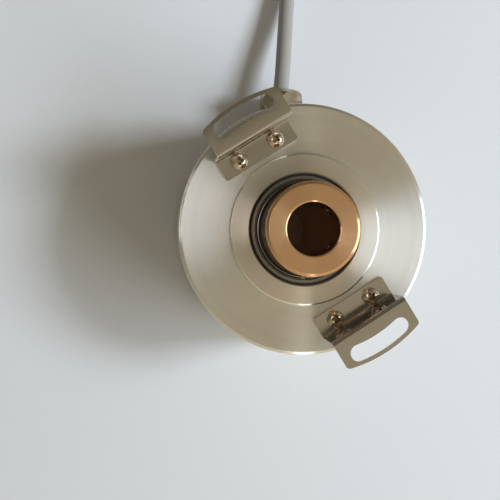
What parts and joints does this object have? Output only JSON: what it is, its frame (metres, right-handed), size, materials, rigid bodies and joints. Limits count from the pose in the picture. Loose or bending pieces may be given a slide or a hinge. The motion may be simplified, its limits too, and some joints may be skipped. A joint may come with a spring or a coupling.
{
  "type": "hollow shaft rotary encoder",
  "caption": "Round machined encoder body with a bronze hollow shaft on ball bearings, slotted sheet brackets on its face and a cable leaving through a gland.",
  "frame": {"origin": "where the shaft axis meets the plane of the rear cover's back face, on which the body stands", "axes": "+Z along the shaft axis, out of the front face; +Y towards the upper bracket; +X completes a right-handed set"},
  "size_m": [0.1098, 0.2028, 0.0595],
  "materials": {
    "machined_aluminium": "fine turned",
    "bronze": "turned, tarnished",
    "bearing_steel": "ground",
    "cage_steel": "pressed",
    "spring_steel": "dark, oiled",
    "bracket_nickel": "satin nickel plate",
    "screw_nickel": "bright nickel plate",
    "black_oxide": "black oxide",
    "gland_nickel": "nickel-plated brass",
    "seal_rubber": "matte",
    "cable_jacket": "matte",
    "tie_plastic": "matte",
    "lead_plastic": "gloss",
    "board_green": "solder resist",
    "chip_black": "matte",
    "connector_white": "matte",
    "holder_plastic": "matte",
    "lamp_clear": "clear",
    "disc_glass": "clear",
    "can_aluminium": "drawn",
    "wire_tin": "tinned"
  },
  "bodies": {
    "housing": {"front_flange": "machined_aluminium", "rear_cover": "machined_aluminium", "cover_seal_ring": "seal_rubber", "cover_screws": "screw_nickel", "upper_posts": "screw_nickel", "lower_posts": "screw_nickel", "wave_washer": "spring_steel", "housing_snap_ring": "spring_steel", "led_holder": "holder_plastic", "led_holder_screws": "screw_nickel", "led": "lamp_clear", "led_leads": "wire_tin", "sensor_carrier": "chip_black", "photodetector": "chip_black", "reticle": "disc_glass", "main_board": "board_green", "line_driver_chip": "chip_black", "board_capacitors": "can_aluminium", "lead_header": "connector_white", "lead_plug": "connector_white", "inner_leads": "lead_plastic", "upper_bracket": "bracket_nickel", "lower_bracket": "bracket_nickel", "bracket_screws": "screw_nickel", "gland_body": "gland_nickel", "gland_washer": "seal_rubber", "gland_locknut": "gland_nickel", "gland_seal": "seal_rubber", "gland_nut": "gland_nickel", "cable_stub": "cable_jacket", "signal_cable": "cable_jacket", "cable_coil": "cable_jacket", "coil_tie": "tie_plastic", "flying_leads": "lead_plastic", "front_bearing_outer_ring": "bearing_steel", "front_bearing_shields": "seal_rubber", "rear_bearing_outer_ring": "bearing_steel", "rear_bearing_shields": "seal_rubber"},
    "rotor": {"hollow_shaft": "bronze", "shaft_set_screws": "black_oxide", "shaft_snap_ring": "spring_steel", "front_bearing_inner_ring": "bearing_steel", "rear_bearing_inner_ring": "bearing_steel", "disc_hub": "machined_aluminium", "hub_set_screws": "black_oxide", "code_disc": "disc_glass", "disc_clamp_ring": "machined_aluminium", "disc_clamp_screws": "screw_nickel"},
    "front_cage": {"front_bearing_cage": "cage_steel", "front_bearing_balls": "bearing_steel"},
    "rear_cage": {"rear_bearing_cage": "cage_steel", "rear_bearing_balls": "bearing_steel"}
  },
  "joints": [
    {"name": "shaft_spin", "type": "hinge", "parent": "housing", "child": "rotor", "pos_m": [0, 0, 0.03], "axis": [0, 0, 1], "continuous": true},
    {"name": "front_cage_spin", "type": "hinge", "parent": "housing", "child": "front_cage", "pos_m": [0, 0, 0.0432], "axis": [0, 0, 1], "continuous": true},
    {"name": "rear_cage_spin", "type": "hinge", "parent": "housing", "child": "rear_cage", "pos_m": [0, 0, 0.0352], "axis": [0, 0, 1], "continuous": true}
  ],
  "couplings": [
    {"joint": "front_cage_spin", "follows": "shaft_spin", "ratio": 0.47015},
    {"joint": "rear_cage_spin", "follows": "shaft_spin", "ratio": 0.47015}
  ]
}
